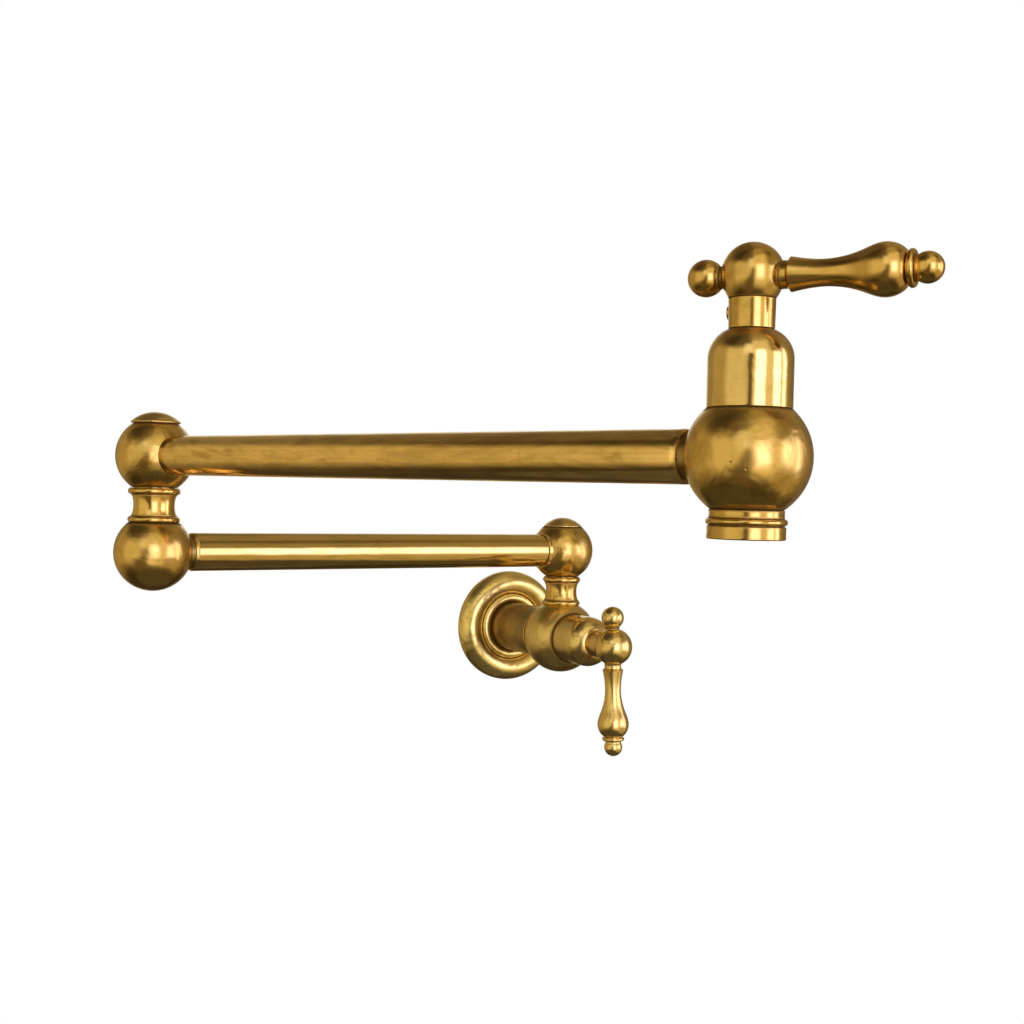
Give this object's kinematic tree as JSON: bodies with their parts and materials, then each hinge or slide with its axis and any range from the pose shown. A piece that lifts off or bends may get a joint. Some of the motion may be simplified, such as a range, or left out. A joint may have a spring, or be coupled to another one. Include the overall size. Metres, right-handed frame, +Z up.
{
  "type": "wall mounted pot filler",
  "caption": "Folding wall tap for filling pots: a valve at the wall, swivelling arms with ball elbows, and a nozzle with its own lever valve, in aged brass.",
  "frame": {"origin": "middle of the inlet thread's mouth, on the wall plane", "axes": "+Z up, +Y into the wall along the inlet, -Y out into the room, +X to the right as seen from the room"},
  "size_m": [0.2863, 0.4438, 0.2169],
  "materials": {
    "aged_brass": "unlacquered brass, satin, with a mottled brown and olive patina",
    "turned_brass": "unlacquered brass, turned and half polished",
    "inner_brass": "plain machined brass",
    "rubber": "matt black rubber",
    "ceramic": "lapped alumina ceramic",
    "aerator_insert": "moulded pale grey plastic"
  },
  "bodies": {
    "root": {"wall_flange": "aged_brass", "flange_gasket": "rubber", "flange_grip_ring": "rubber", "inlet_shank": "aged_brass", "shank_ring": "aged_brass", "wall_valve_body": "aged_brass", "wall_bonnet": "turned_brass", "wall_cartridge": "inner_brass", "wall_cartridge_seal": "rubber", "wall_fixed_disc": "ceramic", "wall_swivel_post": "turned_brass", "wall_swivel_seals": "rubber", "wall_swivel_nut": "inner_brass"},
    "wall_handle": {"wall_moving_disc": "ceramic", "wall_spindle": "inner_brass", "wall_handle_hub": "turned_brass", "wall_set_screw": "turned_brass", "wall_lever": "aged_brass", "wall_finial": "aged_brass"},
    "first_arm": {"first_arm_ball": "aged_brass", "first_arm_cap": "aged_brass", "first_arm_ferrule": "aged_brass", "first_arm_tube": "aged_brass", "elbow_lower_ball": "aged_brass", "elbow_swivel_post": "turned_brass", "elbow_swivel_seals": "rubber", "elbow_swivel_nut": "inner_brass"},
    "second_arm": {"second_arm_ball": "aged_brass", "second_arm_cap": "aged_brass", "second_arm_tube": "aged_brass", "outlet_valve_body": "aged_brass", "outlet_bonnet": "turned_brass", "outlet_cartridge": "inner_brass", "outlet_cartridge_seal": "rubber", "outlet_fixed_disc": "ceramic", "nozzle": "turned_brass", "aerator_washer": "rubber", "aerator_housing": "aerator_insert", "aerator_screen": "aerator_insert"},
    "outlet_handle": {"outlet_moving_disc": "ceramic", "outlet_spindle": "inner_brass", "outlet_handle_hub": "turned_brass", "outlet_set_screw": "turned_brass", "outlet_lever": "aged_brass", "outlet_finial": "aged_brass"}
  },
  "joints": [
    {"name": "wall_swivel", "type": "hinge", "parent": "root", "child": "first_arm", "pos_m": [0, -0.065, 0.048], "axis": [0, 0, 1], "range_deg": [-7.6, 172.4]},
    {"name": "elbow_swivel", "type": "hinge", "parent": "first_arm", "child": "second_arm", "pos_m": [-0.23591, -0.09648, 0.0926], "axis": [0, 0, 1], "range_deg": [-282.9, 77.1]},
    {"name": "wall_lever_turn", "type": "hinge", "parent": "root", "child": "wall_handle", "pos_m": [0, -0.065, 0], "axis": [0, -1, 0], "range_deg": [0, 90]},
    {"name": "outlet_lever_turn", "type": "hinge", "parent": "second_arm", "child": "outlet_handle", "pos_m": [-0.12419, -0.39527, 0.0926], "axis": [0, 0, 1], "range_deg": [0, 90]}
  ]
}
